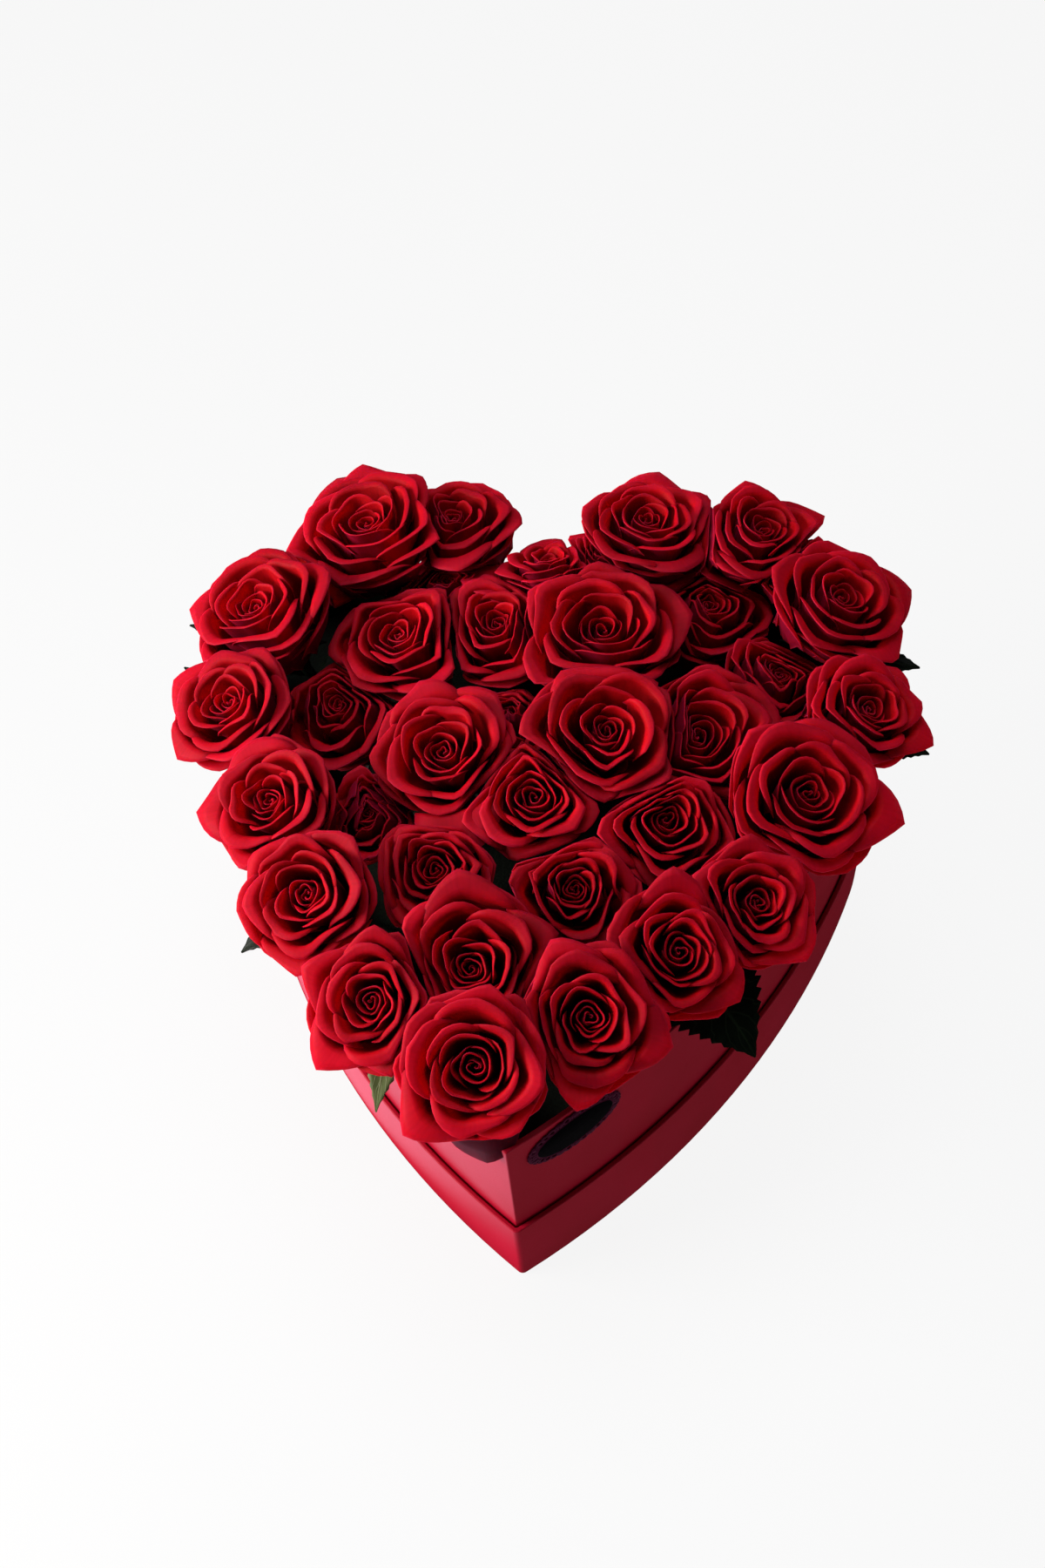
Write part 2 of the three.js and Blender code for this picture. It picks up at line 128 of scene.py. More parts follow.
# The top of each head, and how far out it opens where nothing presses on it. Some have one long
# petal, whose tip points in a compass direction from +X. Some at the back stand on a foot of their
# own. Chance varies the heads, and its seed is the rose's number, but for a few whose outlines come
# nearer to the real ones with another.
roses = [
    {"at": (-85, 131, 168), "open": 37, "point": 120, "long": 0.42, "seed": 9},
    {"at": (-47, 139, 163), "open": 29, "foot": (-35, 126)},
    {"at": (-48, 109, 153), "open": 24},
    {"at": (-1, 115, 162), "open": 20, "foot": (5, 66)},
    {"at": (44, 135, 168), "open": 29, "point": 90, "long": 0.2, "seed": 7},
    {"at": (96, 134, 164), "open": 28},
    {"at": (112, 121, 157), "open": 20, "seed": 23},
    {"at": (-129, 81, 166), "open": 32, "point": 165, "long": 0.1},
    {"at": (-64, 70, 160), "open": 31},
    {"at": (-21, 78, 160), "open": 29},
    {"at": (25, 72, 167), "open": 37},
    {"at": (72, 101, 151), "open": 29},
    {"at": (130, 92, 166), "open": 30, "point": 27, "long": 0.1, "seed": 9},
    {"at": (-132, 25, 165), "open": 27, "point": 217, "long": 0.05, "seed": 3},
    {"at": (-88, 38, 149), "open": 27},
    {"at": (-36, 4, 166), "open": 29},
    {"at": (-13, 36, 149), "open": 19},
    {"at": (31, 13, 168), "open": 34},
    {"at": (68, 20, 160), "open": 35},
    {"at": (102, 61, 150), "open": 24},
    {"at": (138, 34, 163), "open": 24, "point": -17, "long": 0.1, "seed": 35},
    {"at": (-105, -25, 165), "open": 26, "point": 180, "long": 0.25},
    {"at": (112, -12, 165), "open": 32, "point": -5, "long": 0.2},
    {"at": (1, -15, 162), "open": 27},
    {"at": (57, -23, 158), "open": 28},
    {"at": (-68, -16, 147), "open": 20},
    {"at": (-84, -69, 164), "open": 27, "seed": 30},
    {"at": (-36, -48, 155), "open": 24},
    {"at": (21, -55, 155), "open": 24},
    {"at": (91, -64, 163), "open": 24},
    {"at": (-15, -97, 165), "open": 29},
    {"at": (62, -86, 164), "open": 25, "point": -40, "long": 0.05},
    {"at": (-51, -114, 164), "open": 25, "point": 232, "long": 0.2},
    {"at": (29, -117, 164), "open": 27, "point": -18, "long": 0.15},
    {"at": (-11, -138, 165), "open": 28, "point": 230, "long": 0.15},
    {"at": (22, 120, 159), "open": 18, "foot": (17, 102)},
]

for number, rose in enumerate(roses, start=1):
    top = Vector(rose["at"])
    start = Vector(bouquet["focus"])
    if "foot" in rose:
        start = Vector((*rose["foot"], bouquet["stemBottom"]))
    rose["number"] = number
    rose["height"] = bouquet["headLow"] + bouquet["headGrow"] * rose["open"]
    rose["axis"] = (top - start).normalized()
    rose["base"] = top - rose["axis"] * rose["height"]
    rose["middle"] = rose["base"] + rose["axis"] * bouquet["headMiddle"] * rose["height"]
    rose["right"] = Vector((0, 1, 0)).cross(rose["axis"]).normalized()
    rose["back"] = rose["axis"].cross(rose["right"])
    rose["turn"] = math.radians(rose.get("point", bouquet["goldenTurn"] * (number - 1)))

# Each rose keeps to its own side of a plane between it and every other rose near it. The plane
# leans, so that the higher of the two spreads over the lower one.
for rose in roses:
    rose["planes"] = []
    for other in roses:
        across = other["middle"] - rose["middle"]
        apart = across.length
        if other is rose or apart > bouquet["nearby"] * (rose["open"] + other["open"]):
            continue
        share = rose["open"] / (rose["open"] + other["open"])
        pivot = rose["middle"] + across * share
        pivot.z = min(rose["at"][2], other["at"][2]) - bouquet["pivotBelow"]
        rise = (rose["at"][2] - other["at"][2]) / bouquet["leanOver"]
        normal = (across / apart - up * bouquet["mostLean"] * max(-1, min(1, rise))).normalized()
        far = normal.dot(pivot - rose["middle"]) - bouquet["seat"] / 2
        rose["planes"].append((normal, far))


def headPoint(rose, angle, out, share, free):
    # A point of a head, by its parts of how far out the head opens and how high it is. Neighbours
    # press the head's edge inwards, but not a free petal, which lies over them.
    planes = [] if free else rose["planes"]
    direction = rose["right"] * math.cos(angle) + rose["back"] * math.sin(angle)
    centre = rose["base"] + rose["axis"] * (share * rose["height"])
    offset = centre - rose["middle"]
    room = math.inf
    for normal, far in planes:
        facing = normal.dot(direction)
        space = far - offset.dot(normal)
        if facing > bouquet["glancing"] and space > 0:
            room = min(room, space / facing)
    risen = min(1, max(0, share) / bouquet["shoulder"])
    widest = rose["open"] * (bouquet["neck"] + bouquet["swell"] * risen)
    narrowed = min(1, room / widest)
    slack = min(1 - narrowed, bouquet["mostSlack"] * narrowed)
    part = min(1, rose["open"] * out / widest)
    distance = rose["open"] * out * (narrowed + slack * (1 - part))
    point = centre + direction * min(distance, room)
    for normal, far in planes:
        beyond = normal.dot(point - rose["middle"]) - far
        if beyond > 0:
            point -= normal * beyond
    return point


# Rose heads: cupped petals with rolled lips, in whorls round a bud wrapped in a spiral

petals = {
    "thickness": 0.4,
    "cup": 0.35,  # the shares of a petal's length where its cup ends and where its lip is rolled
    "rolled": 0.8,
    "edgeTaper": 0.8,  # how much less the lip rolls at a petal's sides
    "rollPast": 0.3,  # how far a lip rolls out past its crest, for the roll's radius
    "kneeUp": 0.12,  # how high up the cup its side turns upwards, and how far it leans from there
    "kneeOut": 0.5,
    "rimWaves": 1.8,  # from one side of a petal to the other
    "waveRise": 0.7,
    "cornerShare": 0.45,  # how much of a corner's peak stands out past the rest of the rim
    "rootWidth": 0.4,  # how wide a petal is at its root, for its full width
    "widening": 1.4,
    "shifted": 0.85,  # what is farther out than this isn't moved when a head's middle is off centre
    # From the lowest whorl, outside, to the innermost: how many petals it has, how far round they
    # are turned and how far each spans to either side, in degrees. Rim and high are how far out and
    # up their crests are, as parts of what the head opens to and of its height, and snug is how
    # much the rim follows the rose's own tightness. The lip rolls over a radius, roll, until it has
    # curled by so many degrees, and ends in a flap. Peak is how far out its middle comes to a point.
    "whorls": [
        {
            "count": 4, "turn": 5, "span": 54, "rim": 0.62, "high": 0.46, "snug": 0.5,
            "roll": 1.8, "curl": 50, "flap": 0.8, "peak": 0.02,
        },
        {
            "count": 5, "turn": 50, "span": 46, "rim": 0.82, "high": 0.6, "snug": 0,
            "roll": 2.8, "curl": 74, "flap": 2.0, "peak": 0.03,
        },
        {
            "count": 5, "turn": 20, "span": 50, "rim": 0.94, "high": 0.74, "snug": 0,
            "roll": 3.0, "curl": 78, "flap": 2.6, "peak": 0.07,
        },
        {
            "count": 5, "turn": 0, "span": 47, "rim": 0.9, "high": 0.86, "snug": 0,
            "roll": 3.6, "curl": 86, "flap": 4.6, "peak": 0.09,
        },
        {
            "count": 4, "turn": 34, "span": 57, "rim": 0.74, "high": 0.95, "snug": 0,
            "roll": 2.8, "curl": 84, "flap": 2.8, "peak": 0.09,
        },
        {
            "count": 4, "turn": 80, "span": 58, "rim": 0.57, "high": 1.0, "snug": 0.5,
            "roll": 1.7, "curl": 78, "flap": 1.4, "peak": 0.07,
        },
        {
            "count": 3, "turn": 10, "span": 76, "rim": 0.42, "high": 0.99, "snug": 1,
            "roll": 0.9, "curl": 66, "flap": 0.7, "peak": 0.05,
        },
    ],
    "long": 3,  # which whorl, from 0, has the rose's one long petal
    "looseFrom": 1,  # and which one loose petals come from
    "bud": {"count": 8, "inner": 0.04, "outer": 0.29, "low": 0.86, "high": 0.95, "turn": 60},
}

# Petals that have let go and lean out of a head: which rose's they are, the compass direction of
# their tips, how far they span to each side and how high they are. The rest is given where it
# isn't as usual. They fill gaps beside the head, but a free one lies over its neighbours.
usualLoosePetal = {"rim": 1.0, "curl": 84, "flap": 8, "taper": 0.6, "free": False, "darkened": False}
loosePetals = [
    {"rose": 1, "point": 103, "span": 32, "high": 0.82, "rim": 0.92, "curl": 82, "flap": 9, "taper": 1.3},
    {"rose": 1, "point": 200, "span": 34, "high": 0.55, "rim": 1.1, "flap": 6},
    {"rose": 4, "point": 190, "span": 44, "high": 0.7, "rim": 1.35, "curl": 88, "flap": 12, "free": True},
    {"rose": 5, "point": 4, "span": 50, "high": 0.84, "rim": 1.1, "curl": 70, "flap": 4},
    {"rose": 5, "point": 322, "span": 52, "high": 0.5},
    {"rose": 5, "point": 250, "span": 46, "high": 0.4},
    {"rose": 6, "point": 186, "span": 42, "high": 0.84, "rim": 1.1, "curl": 70, "flap": 4},
    {"rose": 6, "point": 218, "span": 52, "high": 0.5},
    {
        "rose": 16, "point": 284, "span": 40, "high": 0.84,
        "curl": 98, "flap": 17, "taper": 0.75, "free": True,
    },
    # a darkened plum petal: the plum is its own colour, and part of its depth is painted shade
    {
        "rose": 35, "point": 273, "span": 33, "high": 0.4, "rim": 0.86,
        "curl": 146, "flap": 21, "taper": 0.5, "darkened": True,
    },
]


def whorlPetal(rose, rng, whorl, i):
    # The order of the chance draws, here and in the next two functions, is part of each head's form
    long = 0
    if i == 0 and whorl is petals["whorls"][petals["long"]]:
        long = rose.get("long", 0) * rose["open"]
    outer = 1 - whorl["high"]
    tight = 1 - whorl["snug"] * (1 - rose["tight"])
    turn = whorl["turn"] + 360 / whorl["count"] * i + rng.uniform(-8, 8)
    return {
        "turn": rose["turn"] + rose["hand"] * math.radians(turn),
        "wide": math.radians(whorl["span"] + rng.uniform(-3, 6)),
        "rim": tight * whorl["rim"] + rng.uniform(-0.03, 0.02),
        "high": whorl["high"] + rng.uniform(-1, 0.5) * (0.03 + 0.06 * outer),
        "low": 0.0,
        "lowOut": 0.06,
        "lean": math.radians(rng.uniform(4, 14)),
        "roll": whorl["roll"] * rng.uniform(0.75, 1.25),
        "curl": math.radians(whorl["curl"] + rng.uniform(-14, 14)),
        "curlSide": math.radians(rng.uniform(5, 45)),
        "flap": max(whorl["flap"] * rng.uniform(0.4, 1.6), 4 + long if long else 0),
        "droop": 0.5 * long,
        "point": 1.5 if long else rng.uniform(0.8, 1.8),
        "peak": whorl["peak"] * rng.uniform(0.4, 1.6),
        "dip": 0.16,
        "dipPower": 5,
        "skew": 0.04 * rose["hand"],
        "slope": rng.uniform(-0.14, 0.14) * outer,
        "wave": rng.uniform(0.3, 0.9),
        "phase": rng.uniform(0, 6.3),
        "columns": 14,
        "rows": 10,
        "tone": rng.uniform(0, 1),
        "free": False,
        "darkened": False,
    }


def budPetal(rose, rng, i):
    # The heart of the flower, sunk in the cup: narrow petals wrapped into a cone
    bud = petals["bud"]
    share = i / (bud["count"] - 1)
    spread = rose["tight"] * bud["outer"] - bud["inner"]
    rim = bud["inner"] + spread * share + rng.uniform(-0.01, 0.01)
    crest = bud["low"] + (bud["high"] - bud["low"]) * share
    turn = bud["turn"] + bouquet["goldenTurn"] * i + rng.uniform(-10, 10)
    return {
        "turn": rose["turn"] + rose["hand"] * math.radians(turn),
        "wide": math.radians(135 - 50 * share + rng.uniform(-10, 10)),
        "rim": rim,
        "high": crest + rng.uniform(-0.015, 0.015) - rose["sunk"],
        "low": 0.4 - 0.2 * share,
        "lowOut": rim + 0.1,
        "lean": math.radians(-22 + 24 * share + rng.uniform(-3, 3)),
        "roll": (0.4 + 0.4 * share) * rng.uniform(0.7, 1.3),
        "curl": math.radians(25 + 40 * share + rng.uniform(-15, 25)),
        "curlSide": math.radians(10),
        "flap": 0.3 * share * rng.uniform(0, 1.5),
        "droop": 0,
        "point": 1,
        "peak": rng.uniform(0, 0.02),
        "dip": 0.12,
        "dipPower": 3,
        "skew": 0.03 * rose["hand"],
        "slope": 0,
        "wave": rng.uniform(0.2, 0.6),
        "phase": rng.uniform(0, 6.3),
        "columns": 18,
        "rows": 7,
        "tone": rng.uniform(0, 1),
        "free": False,
        "darkened": False,
    }


def loosePetal(rose, rng, loose):
    # A petal of a low whorl, varied as the rest are, but turned and hung as its own values say
    return whorlPetal(rose, rng, petals["whorls"][petals["looseFrom"]], 1) | {
        "turn": math.radians(loose["point"]),
        "wide": math.radians(loose["span"]),
        "rim": loose["rim"],
        "high": loose["high"],
        "curl": math.radians(loose["curl"]),
        "curlSide": 0,
        "flap": loose["flap"],
        "droop": 0,
        "point": loose["taper"],
        "skew": 0,
        "tone": 0.3,
        "free": loose["free"],
        "darkened": loose["darkened"],
    }


def petalPoint(rose, petal, across, along):
    # Where a point of a petal lies: up the cup to the start of the lip, round the roll, and out
    # along the flap beyond it. Across runs from -1 to 1 and along from 0 to 1.
    side = abs(across)
    size, height = rose["open"], rose["height"]
    lean = petal["lean"]
    roll = petal["roll"] * (1 - petals["edgeTaper"] * side**2.5)
    curl = petal["curl"] + petal["curlSide"] * side**1.5
    wave = petal["wave"] * math.sin(petals["rimWaves"] * math.pi * across + petal["phase"])
    corner = petal["peak"] * (side**1.1 - petals["cornerShare"])  # in the middle of a petal's rim
    crestOut = (petal["rim"] + petal["skew"] * across - corner) * size + wave
    dip = petal["dip"] * side ** petal["dipPower"]
    crestUp = (petal["high"] - dip + petal["slope"] * across) * height
    crestUp += petals["waveRise"] * wave
    lipOut = crestOut - roll * (math.cos(lean) - petals["rollPast"])
    lipUp = crestUp - roll * (1 - math.sin(lean))
    if along <= petals["cup"]:
        t = along / petals["cup"]
        lowUp = petal["low"] * height
        kneeUp = lowUp + petals["kneeUp"] * (lipUp - lowUp)
        kneeOut = lipOut - math.tan(lean) * petals["kneeOut"] * (lipUp - kneeUp)
        out = (1 - t) ** 2 * petal["lowOut"] * size + 2 * t * (1 - t) * kneeOut + t * t * lipOut
        rise = (1 - t) ** 2 * lowUp + 2 * t * (1 - t) * kneeUp + t * t * lipUp
    else:
        part = min(1, (along - petals["cup"]) / (petals["rolled"] - petals["cup"]))
        turned = lean + (curl - lean) * part
        out = lipOut + roll * (math.cos(lean) - math.cos(turned))
        rise = lipUp + roll * (math.sin(turned) - math.sin(lean))
        beyond = max(0, along - petals["rolled"]) / (1 - petals["rolled"])
        step = petal["flap"] * (1 - side) ** petal["point"] * beyond
        out += step * math.sin(curl)
        rise += step * math.cos(curl) - petal["droop"] * (1 - side) * beyond
    widened = math.sin(0.5 * math.pi * min(1, petals["widening"] * along))
    spread = petals["rootWidth"] + (1 - petals["rootWidth"]) * widened
    angle = petal["turn"] + petal["wide"] * across * spread
    aside = rose["shift"] * max(0, 1 - out / (petals["shifted"] * size))
    flat = Vector((math.cos(angle), math.sin(angle))) * out + aside
    bearing = math.atan2(flat.y, flat.x)
    return headPoint(rose, bearing, flat.length / size, rise / height, petal["free"])


def makePetalMaterial(name, stops, edge, sheen):
    # Rose petal, a soft skin of tiny cones: velvety, deeper in colour down in the head as painted shade,
    # and a little paler along its thin edges as a painted highlight, with fine veins that run from its
    # root to its rim
    material = newMaterial(name)
    uv = addNode(material, "ShaderNodeUVMap", {"uv_map": "petal"})
    tone = addNode(material, "ShaderNodeAttribute", {"attribute_name": "tone"})
    split = addNode(material, "ShaderNodeSeparateXYZ", {}, {"Vector": uv.outputs["UV"]})
    # painted shade: the ramp darkens each petal from its rim down to its root, where shade falls deep in
    # the head
    body = addRamp(material, split.outputs["Y"], stops)
    centred = addNode(
        material, "ShaderNodeMath", {"operation": "SUBTRACT", 1: 0.5}, {0: split.outputs["X"]}
    )
    side = addNode(material, "ShaderNodeMath", {"operation": "ABSOLUTE"}, {0: centred.outputs["Value"]})
    across = addNode(
        material,
        "ShaderNodeMapRange",
        {"From Min": 0.485, "From Max": 0.5},
        {"Value": side.outputs["Value"]},
    )  # the edge is the last 3% of a petal's half width, and about as much of its length
    along = addNode(
        material,
        "ShaderNodeMapRange",
        {"From Min": 0.975, "From Max": 1.0},
        {"Value": split.outputs["Y"]},
    )
    rim = addNode(
        material,
        "ShaderNodeMath",
        {"operation": "MAXIMUM"},
        {0: across.outputs["Result"], 1: along.outputs["Result"]},
    )
    # painted highlight: the thin edges are mixed towards a paler colour, where light would catch them
    paintedHighlightEdges = addNode(
        material,
        "ShaderNodeMix",
        {"data_type": "RGBA", 7: linearColour(edge)},
        {0: rim.outputs["Value"], 6: body},
    )
    veinSize = addNode(
        material, "ShaderNodeMapping", {"Scale": (36, 2.5, 1)}, {"Vector": uv.outputs["UV"]}
    )  # a petal is about 40 mm wide and its veins are about 1.1 mm apart
    veins = addNode(
        material,
        "ShaderNodeTexNoise",
        {"Scale": 1.0, "Detail": 3.0},
        {"Vector": veinSize.outputs["Vector"]},
    )
    place = addNode(material, "ShaderNodeTexCoord", {})
    blush = addNode(
        material,
        "ShaderNodeTexNoise",
        {"Scale": 1 / (14 * mm), "Detail": 2.0},
        {"Vector": place.outputs["Object"]},
    )  # soft patches about 14 mm across
    patches = addNode(
        material,
        "ShaderNodeMath",
        {"operation": "MULTIPLY_ADD", 1: 0.5, 2: 0.35},
        {0: blush.outputs["Fac"]},
    )
    toned = addNode(
        material,
        "ShaderNodeMath",
        {"operation": "MULTIPLY_ADD", 1: 0.35},
        {0: tone.outputs["Fac"], 2: patches.outputs["Value"]},
    )
    veined = addNode(
        material,
        "ShaderNodeMath",
        {"operation": "MULTIPLY_ADD", 1: 0.45},
        {0: veins.outputs["Fac"], 2: toned.outputs["Value"]},
    )
    shaded = addNode(
        material,
        "ShaderNodeHueSaturation",
        {},
        {"Color": paintedHighlightEdges.outputs[2], "Value": veined.outputs["Value"]},
    )
    bump = addNode(
        material,
        "ShaderNodeBump",
        {"Strength": 0.35, "Distance": 0.2 * mm},
        {"Height": veins.outputs["Fac"]},
    )
    return finishMaterial(
        material,
        {
            "Roughness": 0.6,
            "IOR": 1.4,
            "Specular IOR Level": 0.08,
            "Subsurface Weight": 0.5,
            "Subsurface Scale": 3.5 * mm,
            "Subsurface Radius": (1.0, 0.12, 0.08),
            "Sheen Weight": sheen,
            "Sheen Roughness": 0.4,
            "Sheen Tint": linearColour("#ff4058"),
        },
        {"Base Color": shaded.outputs["Color"], "Normal": bump.outputs["Normal"]},
    )


def makeRose(rose, materials):
    rng = random.Random(rose.get("seed", rose["number"]))
    rose["hand"] = rng.choice((-1, 1))  # which way round its petals overlap
    rose["tight"] = rng.uniform(0.74, 1.02)  # how close its inner petals stand
    rose["sunk"] = rng.uniform(-0.015, 0.04)  # how much deeper its bud sits than most
    rose["shift"] = Vector((rng.uniform(-0.05, 0.05), rng.uniform(-0.05, 0.05))) * rose["open"]
    bm = bmesh.new()
    bm.loops.layers.uv.new("petal")
    tone = bm.verts.layers.float.new("tone")
    whole = [
        whorlPetal(rose, rng, whorl, i)
        for whorl in petals["whorls"]
        for i in range(whorl["count"])
    ]
    whole += [budPetal(rose, rng, i) for i in range(petals["bud"]["count"])]
    hanging = [usualLoosePetal | loose for loose in loosePetals if loose["rose"] == rose["number"]]
    whole += [loosePetal(rose, rng, loose) for loose in hanging]
    for petal in whole:
        grid = bmesh.ops.create_grid(
            bm, x_segments=petal["columns"], y_segments=petal["rows"], size=1, calc_uvs=True
        )
        # the darkened petal takes the plum material, whose depth is partly painted shade
        if petal["darkened"]:
            for face in {face for vert in grid["verts"] for face in vert.link_faces}:
                face.material_index = 2  # the last material, which the inner face then has too
        for vert in grid["verts"]:
            vert[tone] = petal["tone"]
            vert.co = petalPoint(rose, petal, vert.co.x, (vert.co.y + 1) / 2)
    node = f"rose_{rose['number']:02d}"
    piece = finishPiece(node + "_petals", bm, materials, node)
    shell = piece.modifiers.new("petal thickness", "SOLIDIFY")
    shell.thickness = petals["thickness"] * mm
    shell.offset = 0
    shell.material_offset = 1  # the inner face, which the rolled lips show, is the second material
    shell.material_offset_rim = 1


# Each ramp runs from a petal's root to its rim: its dark low end is painted shade, and each edge colour
# is a painted highlight
petalMaterials = [
    makePetalMaterial(
        "rose petal outside, dull red",
        [(0.0, "#3c0209"), (0.3, "#66031a"), (0.6, "#7c0420"), (1.0, "#860828")],
        "#98183a",
        0.05,
    ),
    makePetalMaterial(
        "rose petal inside, velvet red",
        [(0.0, "#2a0002"), (0.3, "#8a0106"), (0.5, "#9c010d"), (0.75, "#a20218"), (1.0, "#a20820")],
        "#a20f2a",
        0.05,
    ),
    # plum is the petal's own colour, and its near-black depth is partly painted shade
    makePetalMaterial(
        "rose petal, wilted plum",
        [(0.0, "#1c0107"), (0.4, "#2c020d"), (0.8, "#340310"), (1.0, "#3c0415")],
        "#48081e",
        0.0,
    ),
]
for rose in roses:
    makeRose(rose, petalMaterials)
print("rose heads made")


# Stems, sepals and leaves

foliage = {
    "stemRadius": 2.6,
    "calyxRadius": 4.4,
    "calyxHeight": 7,
    "stemSides": 12,
    "sepalCount": 5,
    "sepalRoot": (3, 1.6),  # how far out from the head's base and below it a sepal starts and ends
    "sepalTip": (15, 6),
    "sepalWidth": 5.5,
    "sepalArch": 1.2,
    "leafThickness": 0.5,
    "leafFold": 0.2,
    "leafRipple": 0.035,  # how high a leaf's ripples are, for its half width
    "leafWidest": 0.85,  # below 1 it puts a leaf's widest place nearer to its root
    "leastHalf": 0.3,  # a blade's half width at its ends
    "leafRoot": 108,  # how high up the stem the showing leaves grow
    "tieHeight": 105,
    "tieWidth": 22,
    "tieArch": 1,
    "teethEvery": 3.2,  # along the edge
    "toothDepth": 0.09,
    "bladeColumns": 6,
    "plainRows": 10,  # along a blade without teeth
}

# Which roses share a spray: a leaf lies across from each stem to the next
sprays = [
    (1, 8),
    (2, 3),
    (4, 10),
    (11, 36),
    (5, 12),
    (6, 7),
    (9, 15),
    (13, 20, 21),
    (14, 22),
    (16, 26),
    (17, 18, 24),
    (19, 25),
    (23, 30),
    (27, 33),
    (28, 31),
    (29, 32),
    (34, 35),
]

# Leaves that reach out past the heads: the rose they grow under, and where their tips end
showingLeaves = [
    {"rose": 8, "tip": (-168, 97, 128), "width": 22, "arch": 6},
    {"rose": 14, "tip": (-167, 75, 124), "width": 24, "arch": 6},
    {"rose": 13, "tip": (165, 86, 124), "width": 24, "arch": 6},
    {"rose": 21, "tip": (166, 38, 124), "width": 24, "arch": 9},
    {"rose": 27, "tip": (-115, -70, 119), "width": 22, "arch": 11},
    # its pale green is partly the leaf's own colour and partly a painted highlight
    {"rose": 33, "tip": (-51, -136, 118), "width": 18, "arch": 13, "highlighted": True},
    {"rose": 32, "tip": (93, -99, 105), "width": 47, "arch": 15},
]


def stemPoint(rose, height):
    return rose["base"] + rose["axis"] * ((height - rose["base"].z) / rose["axis"].z)


def addStem(bm, rose):
    # One profile, from the foot of the stem to the top of the calyx, spun round the rose's axis
    foot = (bouquet["stemBottom"] - rose["base"].z) / rose["axis"].z
    thin, full, deep = foliage["stemRadius"], foliage["calyxRadius"], foliage["calyxHeight"]
    profile = [
        (foot, 0),
        (foot, thin),
        (-deep, thin),
        (-0.8 * deep, 1.15 * thin),
        (-0.5 * deep, full),
        (-0.2 * deep, full),
        (-bouquet["seat"], 0.8 * full),
        (-bouquet["seat"], 0),
    ]
    base, axis, right = rose["base"], rose["axis"], rose["right"]
    verts = [bm.verts.new(base + axis * at + right * out) for at, out in profile]
    edges = [bm.edges.new(pair) for pair in zip(verts, verts[1:])]
    bmesh.ops.spin(
        bm,
        geom=verts + edges,
        cent=base,
        axis=axis,
        angle=2 * math.pi,
        steps=foliage["stemSides"],
        use_merge=True,
    )


def addBlade(bm, root, tip, width, arch, side, teeth=True):
    # A leaf, arched up from root to tip and folded up a little along its rib. Every other row of
    # its edge is a tooth.
    along = tip - root
    rows = 2 * max(4, round(along.length / foliage["teethEvery"])) if teeth else foliage["plainRows"]
    grid = bmesh.ops.create_grid(
        bm, x_segments=foliage["bladeColumns"], y_segments=rows, size=1, calc_uvs=True
    )
    for vert in grid["verts"]:
        across, share = vert.co.x, (vert.co.y + 1) / 2
        full = math.sin(math.pi * share ** foliage["leafWidest"])
        tooth = 1
        if teeth:
            row = round(share * rows)
            tooth += foliage["toothDepth"] * ((row % 2) - 0.5) * 2 * abs(across) ** 3
        half = max(0.5 * width * full * tooth, foliage["leastHalf"])
        point = root + along * share + side * (across * half)
        point.z += 4 * arch * share * (1 - share) + foliage["leafFold"] * half * abs(across)
        point.z += foliage["leafRipple"] * half * math.sin(9 * share + 2 * across)
        vert.co = point


def addSepals(bm, rose):
    # Narrow sepals, turned down round the calyx
    for i in range(foliage["sepalCount"]):
        angle = rose["turn"] + 2 * math.pi * i / foliage["sepalCount"]
        outward = rose["right"] * math.cos(angle) + rose["back"] * math.sin(angle)
        side = rose["axis"].cross(outward)
        root, tip = (
            rose["base"] + outward * out - rose["axis"] * below
            for out, below in (foliage["sepalRoot"], foliage["sepalTip"])
        )
        addBlade(bm, root, tip, foliage["sepalWidth"], foliage["sepalArch"], side, teeth=False)


